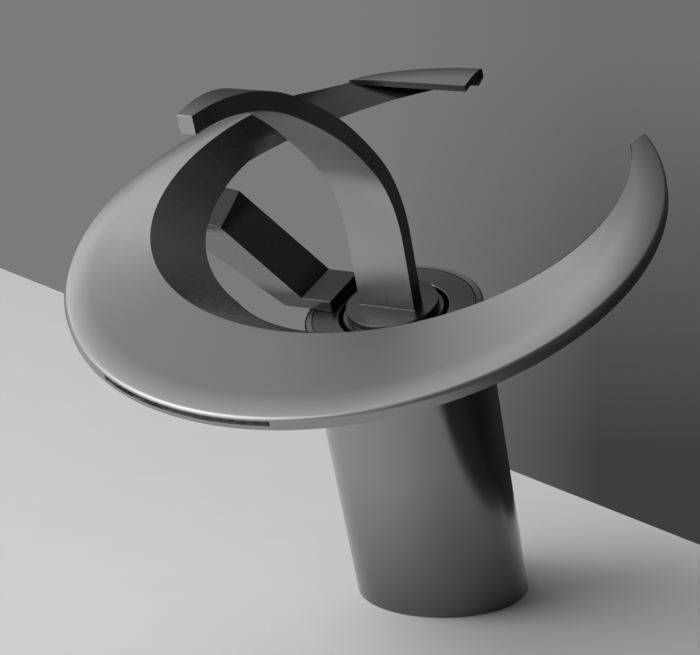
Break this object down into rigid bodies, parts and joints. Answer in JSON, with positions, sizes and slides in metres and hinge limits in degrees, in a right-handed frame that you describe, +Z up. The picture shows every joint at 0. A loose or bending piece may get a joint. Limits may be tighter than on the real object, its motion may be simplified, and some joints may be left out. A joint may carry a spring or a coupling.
{
  "type": "basin faucet",
  "caption": "Deck-mounted single-lever basin faucet: leaning round body, tilted crescent waterfall spout on one side neck, arched strap lever.",
  "frame": {"origin": "centre of the body's foot, on the deck", "axes": "+Z up from the deck, -Y towards the basin where the spout and lever point, -X the hot side"},
  "size_m": [0.162, 0.1606, 0.2224],
  "materials": {
    "satin_steel": "satin, fine brushed",
    "plain_steel": "plain turned stainless steel",
    "brass": "machined",
    "rubber": "matte black",
    "ceramic": "lapped white alumina",
    "white_plastic": "moulded, matte"
  },
  "bodies": {
    "body": {"body_shell": "satin_steel", "waterway_block": "brass", "top_collar": "satin_steel", "base_gasket": "rubber", "shell_screw": "plain_steel", "spout_ring": "satin_steel", "spout_cover": "satin_steel", "outlet_comb": "white_plastic", "spout_neck": "satin_steel", "neck_seal": "rubber", "cartridge_housing": "white_plastic", "cartridge_base": "white_plastic", "cartridge_seals": "rubber", "fixed_disc": "ceramic", "retaining_nut": "brass", "inlet_strainers": "plain_steel", "mounting_stud": "plain_steel", "rubber_washer": "rubber", "clamp_plate": "plain_steel", "mounting_nut": "brass"},
    "swivel": {"swivel_carrier": "white_plastic", "stem_pin": "plain_steel"},
    "lever": {"cartridge_stem": "brass", "handle_hub": "satin_steel", "handle_arch": "satin_steel", "handle_screw": "plain_steel", "screw_plug": "satin_steel"},
    "disc": {"disc_coupler": "white_plastic", "moving_disc": "ceramic"}
  },
  "joints": [
    {"name": "handle_swivel", "type": "hinge", "parent": "body", "child": "swivel", "pos_m": [0, -0.03068, 0.08567], "axis": [0, -0.3371, 0.9415], "range_deg": [-45, 45]},
    {"name": "handle_tilt", "type": "hinge", "parent": "swivel", "child": "lever", "pos_m": [0, -0.03068, 0.08567], "axis": [-1, 0, 0], "range_deg": [0, 20]},
    {"name": "disc_slide", "type": "slide", "parent": "swivel", "child": "disc", "axis": [0, -0.9415, -0.3371], "range_m": [0, 0.0056]}
  ],
  "couplings": [
    {"joint": "disc_slide", "follows": "handle_tilt", "m_per_rad": 0.015917}
  ]
}
